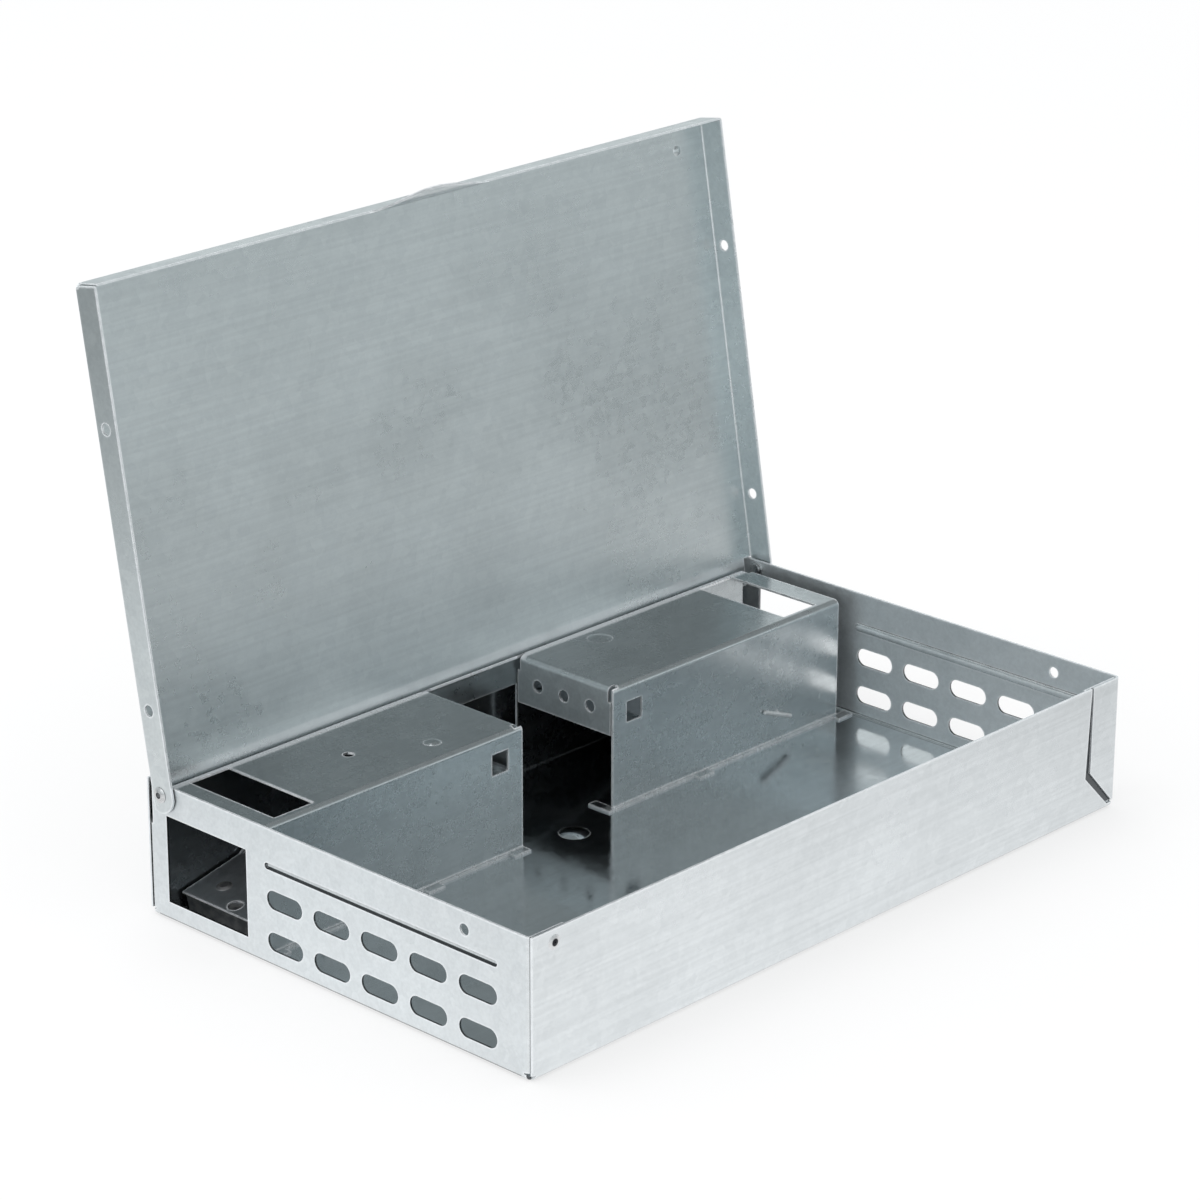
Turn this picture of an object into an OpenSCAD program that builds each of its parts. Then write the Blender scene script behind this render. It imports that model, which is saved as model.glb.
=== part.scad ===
// Multi-catch live mouse trap in folded galvanised sheet: an open tray with a
// hinged lid, and a tunnel cover along the rear wall that holds two see-saw ramps.
// Millimetres. +X runs along the tray, +Y to the hinge side, +Z up.
// The origin is the middle of the tray's flat underside.

/* [Sheet] */
// Thickness of the folded sheet
sheet = 0.7; // [0.5:0.05:0.9]
// Outer radius of every fold
fold_r = 1.9; // [1.2:0.1:2.4]
// Gap between two lapped layers of sheet
lap_gap = 0.1; // [0.05:0.05:0.2]

/* [Tray] */
// Length of the tray over its end walls
tray_l = 265; // [230:1:320]
// Width of the tray over its front and rear walls
tray_w = 160; // [145:1:200]
// Height of the tray walls
tray_h = 44; // [40:1:60]
// Width of the corner tabs of the end walls
tab_w = 13.7; // [10:0.5:18]
// Height at which the lower edge of a corner tab starts to slope away
tab_slope_h = 15; // [8:1:24]
// Gap beside the top of a right corner tab
tab_gap_top = 0.8; // [0.3:0.05:1]
// Gap beside a right corner tab where its edge starts to slope away
tab_gap_low = 2.4; // [0.6:0.05:2.8]

/* [Entrances] */
// Width of the entrance hole in each end wall
entrance_w = 35; // [26:1:37]
// Height of the entrance hole
entrance_h = 28; // [20:1:30]
// Height of the entrance sill above the ground
entrance_sill = 6.3; // [5:0.1:8]
// Distance of the entrance's middle behind the middle of the tunnel
entrance_off = 0.8; // [0:0.1:1.5]

/* [Air slots] */
// Length of an air slot
slot_l = 15; // [8:0.5:17]
// Height of an air slot
slot_h = 6; // [3:0.5:8]
// Distance between neighbouring slots in a row
slot_pitch = 19.8; // [18:0.2:20.4]
// Slots in a row
slot_columns = 5; // [3:1:5]
// Distance of the first slot from the front wall
slot_first = 20.6; // [16:0.2:22]
// Height of the lower row of slots
slot_low_z = 8.4; // [7:0.1:10]
// Distance between the two rows
slot_row_pitch = 13.4; // [11:0.2:14]

/* [Pressed beads and dimples] */
// Height of the stiffening bead above the air slots
bead_z = 32; // [30:0.2:34]
// Distance of the bead's front end from the front wall
bead_start = 14; // [10:1:20]
// Length of the bead
bead_l = 93; // [60:1:96]
// Depth to which the bead is pressed in
bead_depth = 1; // [0.5:0.1:1.2]
// Radius of the bead's rounded back
bead_r = 1.7; // [1.4:0.1:2]
// Radius of the round dimple in the tray floor
floor_dimple_r = 5; // [3:0.1:6]
// Radius of the round dimple in the left top plate of the cover
left_dimple_r = 2.8; // [2:0.1:5]
// Radius of the round dimple in the right top plate of the cover
right_dimple_r = 4.2; // [2:0.1:5]
// Radius of the round dimple in the lid
lid_dimple_r = 1.7; // [1.4:0.1:3]
// Height of the large dimples
dimple_h = 0.9; // [0.5:0.1:1.2]

/* [Small holes] */
// Radius of the tie hole in each end wall
tie_r = 1.8; // [1:0.1:2.2]
// Distance of the tie holes from the front wall
tie_y = 25.8; // [18:0.2:40]
// Depth of the tie holes below the top of the wall
tie_drop = 5.6; // [4:0.1:7]

/* [Lid] */
// Angle that the lid opens through
open_angle = 99.7; // [95:0.1:104]
// Distance of the hinge axis from the outside of the rear wall
hinge_rear = 7.6; // [7.2:0.1:9]
// Depth of the hinge axis below the top of the end walls
hinge_drop = 3.1; // [2.9:0.1:4.4]
// Outer radius of the lid's folds
lid_fold_r = 1.2; // [1:0.05:1.25]
// Gap between the end walls and the lid's side flanges
side_gap = 0.4; // [0.3:0.05:0.6]
// Gap between the front corner rivet's head and the lid's front flange
front_gap = 0.3; // [0.2:0.05:0.6]
// Gap under the closed lid, and under its shoulders when it is open
seat_gap = 0.1; // [0.05:0.05:0.2]
// Clearance of the swinging rear edge from the rear wall and the tunnel cover
swing_gap = 0.3; // [0.2:0.05:0.5]
// Height of the lid's flanges
flange_h = 9.5; // [8:0.5:14]
// Radius of the rounded flange ends around the hinge
flange_end_r = 5.8; // [4.5:0.1:6.5]
// Distance of the narrowed rear edge from the end walls
rear_inset = 2.4; // [1:0.1:5]
// Radius of the holes in the side flanges
flange_hole_r = 1.8; // [1:0.1:2.2]
// Distance of the nearer flange hole from the hinge axis
flange_hole_near = 26; // [16:0.5:34]
// Distance between the two holes in a flange
flange_hole_pitch = 85; // [60:0.5:90]
// Width of the finger lip
lip_w = 52; // [20:1:60]
// Radius to which the finger lip is curled
lip_r = 3; // [2:0.1:4]
// Flat end of the finger lip past its curl
lip_flat = 1.2; // [0.5:0.1:2]

/* [Rivets] */
// Radius of the hinge rivet's shank
hinge_pin_r = 1.4; // [1.2:0.05:1.5]
// Radius of the hinge rivet's head
hinge_head_r = 2.5; // [2.2:0.1:2.6]
// Radius of the blind bore in the hinge rivet's head
hinge_bore_r = 1; // [0.5:0.05:1.05]
// Radius of a corner rivet's shank
rivet_r = 1.2; // [0.9:0.05:1.4]
// Radius of a corner rivet's flange
rivet_head_r = 2.3; // [1.8:0.1:2.6]
// Distance of a corner rivet from the outside of the end wall
rivet_x = 9.2; // [7:0.1:10]
// Depth of the front corner rivet below the top of the wall
rivet_drop = 4; // [3.5:0.1:6]
// Height of the two rear corner rivets
rear_rivet_z = 24; // [20:1:28]
// Radial clearance of a turning pin in its hole
pin_fit = 0.05; // [0.02:0.01:0.08]

/* [Tunnel cover] */
// Height of the cover's top above the ground
cover_top = 42; // [38:0.5:42.5]
// Width of the cover over its front and rear walls
cover_w = 43.2; // [41:0.1:46]
// Clearance of the cover from the left end wall
cover_left_gap = 0.3; // [0.2:0.1:2]
// Clearance of the cover from the right end wall
cover_right_gap = 5.6; // [0.3:0.1:8]
// Length of the gap between the two tunnels
drop_l = 40.5; // [34:0.5:46]
// Height of the flap that hangs over the inner end of each tunnel
header_h = 16.2; // [12:0.2:17]
// Height of the rear strip that bridges the gap
bridge_h = 10; // [6:0.5:14]
// Distance of the inspection cut-out from the outer end of the top plate
hatch_x = 8.5; // [5:0.5:10]
// Length of the inspection cut-out
hatch_l = 15.8; // [12:0.2:18]
// Web left beside the inspection cut-out
hatch_web = 2.9; // [2.4:0.1:6]
// Width of the window that each stop tongue is lanced from
window_w = 7; // [4:0.5:9]
// Height of that window, which is the length of the stop tongue
window_h = 7; // [4:0.5:8]
// Distance of the window from the inner end of the tunnel
window_x = 6.2; // [5:0.2:9]
// Radius of the three holes in each hanging flap
header_hole_r = 2; // [1:0.1:2.6]
// Distance between those holes
header_pitch = 11.5; // [8:0.5:13]
// Height of the relief slots beside each hanging flap
relief_h = 5; // [3:0.5:6]
// Width of the relief slots
relief_w = 1.5; // [0.8:0.1:2]
// Reach of the flare along the foot of the front walls
flare_d = 1.1; // [0.6:0.1:2]
// Length of a foot that rests on the tray floor
foot_w = 7; // [4:0.5:10]
// Reach of a foot in front of the cover
foot_d = 3.6; // [2:0.2:6]
// Reach of the feet that are turned in under the right tunnel
foot_in = 8; // [4:0.5:12]
// Distance of the middle foot from the outer end of the cover
foot_mid = 68; // [40:1:75]

/* [See-saw ramps] */
// Distance of the ramp axle from the outer end of the cover
axle_x = 30.7; // [28:0.1:34]
// Height of the ramp axle above the ground
axle_z = 10.6; // [9.6:0.1:11.6]
// Radius of the ramp axle
axle_r = 1; // [0.8:0.05:1.2]
// Length of each leg of the axle, bent apart against the front wall
axle_leg_l = 6.5; // [3:0.5:9]
// Slope of those legs, in degrees
axle_leg_slope = 21; // [0:1:60]
// Radius of the clip on the axle behind the cover
axle_clip_r = 2.6; // [2:0.1:3]
// Slope of a ramp at rest, in degrees
ramp_slope = 12.3; // [10:0.1:12.6]
// Thickness of the ramp plate
ramp_t = 0.5; // [0.4:0.05:0.6]
// Length of the ramp outside its axle
ramp_out = 25.5; // [23:0.5:27]
// Clearance of the ramp's inner edge from the hanging flap that it tips past
ramp_end_gap = 1.2; // [0.6:0.1:4]
// Clearance between a ramp and the tunnel walls
ramp_side_gap = 0.9; // [0.6:0.1:1.6]
// Depth of the side lips that stiffen the ramp
ramp_lip_h = 2; // [1.2:0.1:3]
// Length of the counterweight along the ramp
weight_l = 17; // [14:0.5:18]
// Clearance under the stop tongue, and under the resting counterweight
stop_gap = 0.15; // [0.1:0.05:0.3]
// Radius of the drip hole near the ramp's outer edge
ramp_hole_r = 2.4; // [1:0.1:3]

/* [Hidden] */
$fn = 48;

// overshoot of a cutting tool past the sheet it cuts
over = 1;
// faces of the tray
left_x = -tray_l / 2;
right_x = tray_l / 2;
front_y = -tray_w / 2;
rear_y = tray_w / 2;
// the lapped layers at a corner: the inner tab sits this far inside the wall
lap = sheet + lap_gap;
// the seam left open at the corners
seam = 0.5;
// thickness of a corner rivet's flange
corner_head_t = 0.5;

// hinge axis
hinge_y = rear_y - hinge_rear;
hinge_z = tray_h - hinge_drop;
lean = open_angle - 90;
// closed lid, measured from the hinge axis
lid_under = hinge_drop + seat_gap;
lid_over = lid_under + sheet;
lid_front = front_y - corner_head_t - front_gap - sheet;
lid_side = tray_l / 2 + side_gap + sheet;
lid_top_z = hinge_z + lid_over;
// hinge rivet: its grip through both sheets and the washer, and its upset end
hinge_play = 0.1;
hinge_grip = 3 * sheet + side_gap + 2 * hinge_play;
hinge_upset = 0.6;
// the shoulders land on the end walls when the lid is open
shoulder = (hinge_drop + seat_gap + lid_over * sin(lean)) / cos(lean);
// the rear edge swings clear of the rear wall
swing_r = hinge_rear - sheet - swing_gap;
rear_reach = sqrt(swing_r * swing_r - lid_over * lid_over);

// tunnel cover, which stands clear of the lid's rear edge when the lid is open
cover_rear = hinge_y - rear_reach * sin(lean) + lid_under * cos(lean) - swing_gap;
cover_front = cover_rear - cover_w;
cover_mid = (cover_rear + cover_front) / 2;
cover_left = left_x + sheet + cover_left_gap;
cover_l = tray_l - 2 * sheet - cover_left_gap - cover_right_gap;
cover_x = cover_left + cover_l / 2;
tunnel_l = (cover_l - drop_l) / 2;
// slit between a hanging flap and the walls beside it
flap_slit = 0.4;
// clearance of the cover from the tray's folds
foot_gap = 0.2;
// outer radius of the flare along the foot of the front walls
flare_r = sheet + 0.4;
// notch in the cover's upper rear corners around the hinge rivets
notch_gap = 0.5;
notch_r = hinge_head_r + notch_gap;
notch_l = hinge_grip + hinge_upset - lid_side - hinge_play - cover_left + notch_gap;

// ramp, drawn level with its axle at the origin, +X towards the drop
ramp_w = cover_w - 2 * sheet - 2 * ramp_side_gap;
ramp_in = tunnel_l - sheet - ramp_end_gap - axle_x;
ramp_under = axle_r + 0.3;
ear_r = axle_r + 1.6;
// distance of a window's far edge from the axle, and the height of the ramp there
stop_x = tunnel_l - axle_x - window_x;
stop_z = axle_z + stop_x * tan(ramp_slope) + (ramp_under + ramp_t) / cos(ramp_slope) + stop_gap;
// counterweight, as thick as the room between the ramp and the floor allows
weight_edge = ramp_out - 0.4;
weight_t = (axle_z - weight_edge * sin(ramp_slope) - sheet - stop_gap) / cos(ramp_slope) + ramp_under;
weight_w = ramp_w - 2 * ramp_t - 1.4;
weight_mid = -weight_edge + weight_l / 2;
weight_rivet_y = weight_w / 2 - 8;
weight_rivet_r = 1.5;
// how far a ramp slopes down once its inner edge meets the floor
ramp_down = asin((axle_z + ramp_under - sheet - stop_gap) / ramp_in);
// where the ramp's side lips end so that they stay off the floor
lip_low = ramp_under + ramp_t - ramp_lip_h;
lip_in = (axle_z + lip_low * cos(ramp_down) - sheet - 2 * stop_gap) / sin(ramp_down);

// ---- helpers ----------------------------------------------------------

// a flat outline in (Y, Z), drawn out along +X
module along_x(length) {
    rotate([90, 0, 90]) linear_extrude(length) children();
}

// a flat outline in (X, Z), drawn out along +Y
module along_y(length) {
    translate([0, length, 0]) rotate([90, 0, 0]) linear_extrude(length) children();
}

// section through a right-angled fold: the quarter left of and below its centre
module fold() {
    intersection() {
        difference() {
            circle(fold_r);
            circle(fold_r - sheet);
        }
        translate([-fold_r, -fold_r]) square(fold_r);
    }
}

// block between two opposite corners
module block(low, high) {
    translate(low) cube(high - low);
}

// upright slot with round ends through the sheet, along X
module slot_cutter() {
    along_x(fold_r + 2 * over) {
        square([slot_l - slot_h, slot_h], center = true);
        for (side = [-1, 1])
            translate([side * (slot_l - slot_h) / 2, 0]) circle(slot_h / 2);
    }
}

// round bar with ball ends along +Y
module bead_bar(radius) {
    rotate([-90, 0, 0]) cylinder(r = radius, h = bead_l);
    sphere(radius);
    translate([0, bead_l, 0]) sphere(radius);
}

// round dimple pressed up from a sheet whose upper face is z = 0
module dimple(radius, height) {
    ball = (radius * radius + height * height) / (2 * height);
    intersection() {
        translate([0, 0, height - ball]) sphere(ball);
        translate([0, 0, -sheet / 2]) cylinder(r = radius + over, h = height + sheet);
    }
}

// the hollow under that dimple
module dimple_hollow(radius, height) {
    ball = (radius * radius + height * height) / (2 * height);
    intersection() {
        translate([0, 0, height - ball]) sphere(ball - sheet);
        translate([0, 0, -sheet - over]) cylinder(r = radius + over, h = height + sheet + over);
    }
}

// half of a rivet's section on the right of its axis, head below y = 0
module rivet_section(shank_r, head_r, grip, head_t) {
    difference() {
        intersection() {
            translate([0, -head_t]) square([head_r, head_t]);
            translate([0, (head_r * head_r - head_t * head_t) / (2 * head_t)])
                circle((head_r * head_r + head_t * head_t) / (2 * head_t));
        }
        circle(shank_r * 0.45);
    }
    translate([shank_r * 0.45, 0]) square([shank_r * 0.55, grip]);
    translate([0, grip * 0.5]) square([shank_r * 0.5, grip * 0.5]);
    translate([0, grip]) square([shank_r + 0.7, 0.5]);
}

// ---- tray -------------------------------------------------------------

// floor with the long walls folded up from it
module tray_channel() {
    block([left_x + fold_r, front_y + fold_r, 0], [right_x - fold_r, rear_y - fold_r, sheet]);
    for (side = [0, 1]) mirror([0, side, 0]) {
        translate([left_x + fold_r, front_y + fold_r, fold_r]) along_x(tray_l - 2 * fold_r) fold();
        block([left_x + seam, front_y, fold_r], [right_x - lap, front_y + sheet, tray_h]);
    }
}

// an end wall at the left, folded up from the floor between two points of its length
module end_wall(from_y, to_y) {
    block([left_x, from_y, fold_r], [left_x + sheet, to_y, tray_h]);
    translate([left_x + fold_r, front_y + fold_r, fold_r]) along_y(tray_w - 2 * fold_r) fold();
}

// corner tab at the left of the front wall; its outer face lies at face_y
module corner_tab(face_y, top_z) {
    low = fold_r + seam;
    translate([left_x + fold_r, face_y + fold_r, low]) linear_extrude(top_z - low) fold();
    translate([left_x, face_y, 0]) along_y(sheet)
        polygon([[fold_r, top_z], [tab_w, top_z], [tab_w, tab_slope_h], [fold_r, low]]);
}

// what is cut out of the front wall at the left for a tab that lies flush in it,
// with a gap beside the tab that widens downwards
module tab_opening() {
    translate([left_x, front_y - over, 0]) along_y(sheet + 2 * over)
        polygon([
            [-over, tray_h + over], [tab_w + tab_gap_top, tray_h + over],
            [tab_w + tab_gap_low, tab_slope_h - tab_gap_low / 2],
            [fold_r + tab_gap_low, fold_r], [-over, fold_r]
        ]);
}

// end of the front wall at the left, stepped in behind a flush tab
module tab_backing(top_z) {
    step_x = left_x + tab_w + tab_gap_low + seam;
    low = fold_r + seam;
    block([left_x + fold_r + lap_gap, front_y + lap, low], [step_x + sheet, front_y + lap + sheet, top_z]);
    block([step_x, front_y + sheet / 2, low], [step_x + sheet, front_y + lap + sheet, top_z]);
}

// everything punched through the left end wall
module end_wall_cuts() {
    entrance_y = cover_mid + entrance_off;
    block([left_x - over, entrance_y - entrance_w / 2, entrance_sill],
          [left_x + fold_r + over, entrance_y + entrance_w / 2, entrance_sill + entrance_h]);
    for (row = [0, 1], column = [0 : slot_columns - 1])
        translate([left_x - over, front_y + slot_first + column * slot_pitch,
                   slot_low_z + row * slot_row_pitch]) slot_cutter();
    translate([left_x - over, front_y + tie_y, tray_h - tie_drop])
        rotate([0, 90, 0]) cylinder(r = tie_r, h = sheet + 2 * over);
    translate([left_x - over, hinge_y, hinge_z])
        rotate([0, 90, 0]) cylinder(r = hinge_pin_r + pin_fit, h = sheet + 2 * over);
    translate([left_x + sheet + bead_depth - bead_r, front_y + bead_start, bead_z])
        bead_bar(bead_r - sheet);
}

// the ridge that the bead raises inside the left end wall
module bead_ridge() {
    intersection() {
        translate([left_x + sheet + bead_depth - bead_r, front_y + bead_start, bead_z])
            bead_bar(bead_r);
        block([left_x, front_y, bead_z - 2 * bead_r], [left_x + 2 * bead_r, rear_y, bead_z + 2 * bead_r]);
    }
}

// a tool that drills the corner rivet holes through both lapped layers
module corner_rivet_holes() {
    translate([left_x + rivet_x, front_y - over - lap, tray_h - rivet_drop])
        rotate([-90, 0, 0]) cylinder(r = rivet_r + 0.02, h = 2 * lap + 2 * over);
    for (side = [-1, 1])
        translate([side * (right_x - rivet_x), rear_y - lap - sheet - over, rear_rivet_z])
            rotate([-90, 0, 0]) cylinder(r = rivet_r + 0.02, h = 2 * lap + sheet + 2 * over);
}

// places the dimple that is pressed up in the floor in front of the drop
module at_floor_dimple() {
    translate([cover_x - 1, cover_front - 3.6, sheet]) children();
}

module tray() {
    // the rear edge of the lid swings down above the inner layers at the rear
    rear_layer_z = rear_rivet_z + 6;
    color("gainsboro") difference() {
        union() {
            difference() {
                tray_channel();
                for (side = [0, 1]) mirror([0, side, 0]) mirror([1, 0, 0]) tab_opening();
            }
            // left end wall, with its tabs folded behind the long walls
            end_wall(front_y + lap + fold_r, rear_y - lap - fold_r);
            corner_tab(front_y + lap, tray_h);
            mirror([0, 1, 0]) corner_tab(front_y + lap, rear_layer_z);
            // right end wall, with its tabs let in flush with the long walls
            mirror([1, 0, 0]) {
                end_wall(front_y + fold_r, rear_y - fold_r);
                corner_tab(front_y, tray_h);
                mirror([0, 1, 0]) corner_tab(front_y, tray_h);
                tab_backing(tray_h);
                mirror([0, 1, 0]) tab_backing(rear_layer_z);
            }
            for (side = [0, 1]) mirror([side, 0, 0]) bead_ridge();
            at_floor_dimple() dimple(floor_dimple_r, dimple_h);
        }
        for (side = [0, 1]) mirror([side, 0, 0]) end_wall_cuts();
        corner_rivet_holes();
        at_floor_dimple() dimple_hollow(floor_dimple_r, dimple_h);
    }
}

// the flanged rivets that hold the lapped corners together
module corner_rivets() {
    color("silver") {
        translate([left_x + rivet_x, front_y, tray_h - rivet_drop]) rotate([-90, 0, 0])
            rotate_extrude() rivet_section(rivet_r, rivet_head_r, lap + sheet, corner_head_t);
        for (side = [-1, 1])
            translate([side * (right_x - rivet_x), rear_y, rear_rivet_z]) rotate([90, 0, 0])
                rotate_extrude() rivet_section(rivet_r, rivet_head_r, lap + sheet, corner_head_t);
    }
}

// ---- lid --------------------------------------------------------------

// cap with its top, side and front edges rounded, open at the rear and below;
// inset moves every face inwards by one sheet for the hollow
module cap(inset) {
    side = lid_side - inset;
    near = lid_front + inset;
    top = lid_top_z - inset;
    low = inset == 0 ? lid_top_z - flange_h : lid_top_z - flange_h - over;
    far = hinge_y - shoulder + (inset == 0 ? 0 : over);
    radius = lid_fold_r - inset;
    block([-side, near + radius, low], [side, far, top - radius]);
    block([-side + radius, near, low], [side - radius, far, top - radius]);
    block([-side + radius, near + radius, low], [side - radius, far, top]);
    translate([-side + radius, near + radius, top - radius]) along_x(2 * (side - radius)) circle(radius);
    for (end = [-1, 1]) {
        translate([end * (side - radius), near + radius, low]) cylinder(r = radius, h = top - radius - low);
        translate([end * (side - radius), near + radius, top - radius]) sphere(radius);
        translate([end * (side - radius), near + radius, top - radius])
            along_y(far - near - radius) circle(radius);
    }
}

// rounded ear of the left flange around the hinge
module hinge_ear() {
    intersection() {
        union() {
            translate([-lid_side, hinge_y, hinge_z]) rotate([0, 90, 0]) cylinder(r = flange_end_r, h = sheet);
            block([-lid_side, hinge_y - shoulder - over, lid_top_z - flange_h],
                  [-lid_side + sheet, hinge_y, lid_top_z - lid_fold_r]);
        }
        block([-lid_side, hinge_y - shoulder - over, lid_top_z - flange_h],
              [-lid_side + sheet, hinge_y + flange_end_r + over, lid_top_z - sheet]);
    }
}

// open seam between the front flange and the left flange, with its round relief
module corner_seam() {
    relief_r = 1.5;
    translate([-lid_side, lid_front, lid_top_z - sheet - 0.3]) {
        sphere(relief_r);
        rotate([0, 0, 45]) block([-over, -seam / 2, -flange_h], [2 * lid_fold_r, seam / 2, 0]);
    }
}

// tongue curled outwards from the lower edge of the front flange
module finger_lip() {
    root_z = lid_top_z - flange_h;
    depth = lip_r + lip_flat;
    ball = (lip_w * lip_w / 4 + depth * depth) / (2 * depth);
    intersection() {
        translate([-lip_w / 2, lid_front + sheet - lip_r, root_z]) along_x(lip_w) {
            intersection() {
                difference() {
                    circle(lip_r);
                    circle(lip_r - sheet);
                }
                translate([0, -lip_r]) square(lip_r);
            }
            translate([-lip_flat, -lip_r]) square([lip_flat, sheet]);
        }
        translate([0, lid_front + sheet + (ball - depth) * cos(45), root_z + (ball - depth) * sin(45)])
            sphere(ball, $fn = 96);
    }
}

// places the dimple that is pressed inwards at the right front corner
module at_lid_dimple() {
    translate([right_x - 12.5, front_y + 7.3, hinge_z + lid_under]) mirror([0, 0, 1]) children();
}

module lid_closed() {
    difference() {
        union() {
            difference() {
                cap(0);
                cap(sheet);
            }
            // narrower rear edge, which drops behind the tunnel cover as the lid opens
            block([left_x + sheet + rear_inset, hinge_y - shoulder - over, hinge_z + lid_under],
                  [right_x - sheet - rear_inset, hinge_y + rear_reach, lid_top_z]);
            for (side = [0, 1]) mirror([side, 0, 0]) hinge_ear();
            finger_lip();
            at_lid_dimple() dimple(lid_dimple_r, dimple_h / 2);
        }
        at_lid_dimple() dimple_hollow(lid_dimple_r, dimple_h / 2);
        for (side = [0, 1]) mirror([side, 0, 0]) corner_seam();
        for (side = [-1, 1]) {
            translate([side * lid_side, hinge_y, hinge_z]) rotate([0, 90, 0])
                cylinder(r = hinge_pin_r + pin_fit, h = 2 * sheet + over, center = true);
            for (reach = [flange_hole_near, flange_hole_near + flange_hole_pitch])
                translate([side * lid_side, hinge_y - reach, lid_top_z - flange_h / 2])
                    rotate([0, 90, 0]) cylinder(r = flange_hole_r, h = 2 * sheet + over, center = true);
        }
    }
}

module lid() {
    color("lightsteelblue") translate([0, hinge_y, hinge_z]) rotate([-open_angle, 0, 0])
        translate([0, -hinge_y, -hinge_z]) lid_closed();
}

// rivet through the left flange and end wall: low head with a blind bore outside,
// upset end inside
module hinge_rivet() {
    head_t = 0.7;
    ball = (hinge_head_r * hinge_head_r + head_t * head_t) / (2 * head_t);
    color("silver") translate([-lid_side - hinge_play, hinge_y, hinge_z]) rotate([0, 90, 0])
        rotate_extrude() difference() {
            union() {
                intersection() {
                    translate([0, -head_t]) square([hinge_head_r, head_t]);
                    translate([0, ball - head_t]) circle(ball);
                }
                square([hinge_pin_r, hinge_grip]);
                translate([0, hinge_grip]) square([hinge_pin_r + 0.6, hinge_upset]);
            }
            translate([0, -head_t - over]) square([hinge_bore_r, head_t + over + hinge_grip / 2]);
        }
}

module hinge_washer() {
    color("silver") translate([left_x + sheet, hinge_y, hinge_z]) rotate([0, 90, 0]) difference() {
        cylinder(r = hinge_head_r, h = sheet);
        translate([0, 0, -over]) cylinder(r = hinge_pin_r + pin_fit, h = sheet + 2 * over);
    }
}

module left_hinge_rivet() {
    hinge_rivet();
}

module right_hinge_rivet() {
    mirror([1, 0, 0]) hinge_rivet();
}

module left_hinge_washer() {
    hinge_washer();
}

module right_hinge_washer() {
    mirror([1, 0, 0]) hinge_washer();
}

// ---- tunnel cover -----------------------------------------------------

// places children at the left tunnel, then mirrored at the right one;
// their origin is the outer end of the tunnel on its middle line, at ground level
module at_tunnel(side) {
    translate([cover_x, cover_mid, 0]) mirror([side, 0, 0]) translate([-cover_l / 2, 0, 0]) children();
}

// flare along the foot of the front wall
module flare(length) {
    translate([0, -cover_w / 2 + sheet - flare_r, sheet + flare_r]) along_x(length)
        intersection() {
            difference() {
                circle(flare_r);
                circle(flare_r - sheet);
            }
            translate([0, -flare_r]) square(flare_r);
        }
    block([0, -cover_w / 2 - flare_d, sheet], [length, -cover_w / 2 + sheet - flare_r, 2 * sheet]);
}

// channel of the left tunnel up to the middle of the cover
module half_channel() {
    half = cover_w / 2;
    length = cover_l / 2;
    flare(length);
    block([0, -half, sheet + flare_r], [length, -half + sheet, cover_top - fold_r]);
    block([0, half - sheet, sheet], [length, half, cover_top - fold_r]);
    for (side = [0, 1]) mirror([0, side, 0])
        translate([0, -half + fold_r, cover_top - fold_r]) along_x(length) mirror([0, 1]) fold();
    block([0, -half + fold_r, cover_top - sheet], [length, half - fold_r, cover_top]);
}

// what is cut away over the drop: front wall, top plate, and rear wall below the bridge
module drop_cutter() {
    half = cover_w / 2;
    block([tunnel_l - fold_r, -half + sheet, sheet - over], [tunnel_l + drop_l, half - fold_r, cover_top + over]);
    block([tunnel_l, -half - flare_d - over, sheet - over],
          [tunnel_l + drop_l, half - fold_r, cover_top + over]);
    block([tunnel_l, -half, sheet - over], [tunnel_l + drop_l, half + over, cover_top - bridge_h]);
}

// flap folded down from the top plate over the tunnel's inner end
module header() {
    wide = cover_w - 2 * sheet - 2 * flap_slit;
    difference() {
        union() {
            translate([tunnel_l - fold_r, -wide / 2, cover_top - fold_r]) along_y(wide) mirror([1, 1]) fold();
            block([tunnel_l - sheet, -wide / 2, cover_top - header_h],
                  [tunnel_l, wide / 2, cover_top - fold_r]);
        }
        for (column = [-1 : 1])
            translate([tunnel_l - sheet - over, column * header_pitch, cover_top - header_h / 2 - 0.4])
                rotate([0, 90, 0]) cylinder(r = header_hole_r, h = sheet + 2 * over);
    }
}

// slots that free the flap's upper corners
module relief_cutter() {
    for (side = [0, 1]) mirror([0, side, 0])
        block([tunnel_l - fold_r - over, -cover_w / 2 + sheet, cover_top - relief_h],
              [tunnel_l + over, -cover_w / 2 + sheet + relief_w, cover_top + over]);
}

// tongue lanced from the front wall and folded in over the ramp, which stops it
module stop_tongue() {
    block([tunnel_l - window_x - window_w, -cover_w / 2, stop_z],
          [tunnel_l - window_x, -cover_w / 2 + sheet + window_h, stop_z + sheet]);
}

// foot turned out in front of the tunnel
module outer_foot(start_x) {
    block([start_x, -cover_w / 2 - foot_d, sheet], [start_x + foot_w, -cover_w / 2, 2 * sheet]);
}

// foot turned in from the flare behind the front wall
module inner_foot(start_x, length) {
    block([start_x, -cover_w / 2 - flare_d, sheet], [start_x + length, -cover_w / 2 + foot_in, 2 * sheet]);
}

// places a dimple in a top plate; the two are turned half round about the middle
module at_cover_dimple(turn) {
    translate([cover_x, cover_mid, cover_top]) rotate([0, 0, turn]) translate([-49, -11.5, 0]) children();
}

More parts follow.
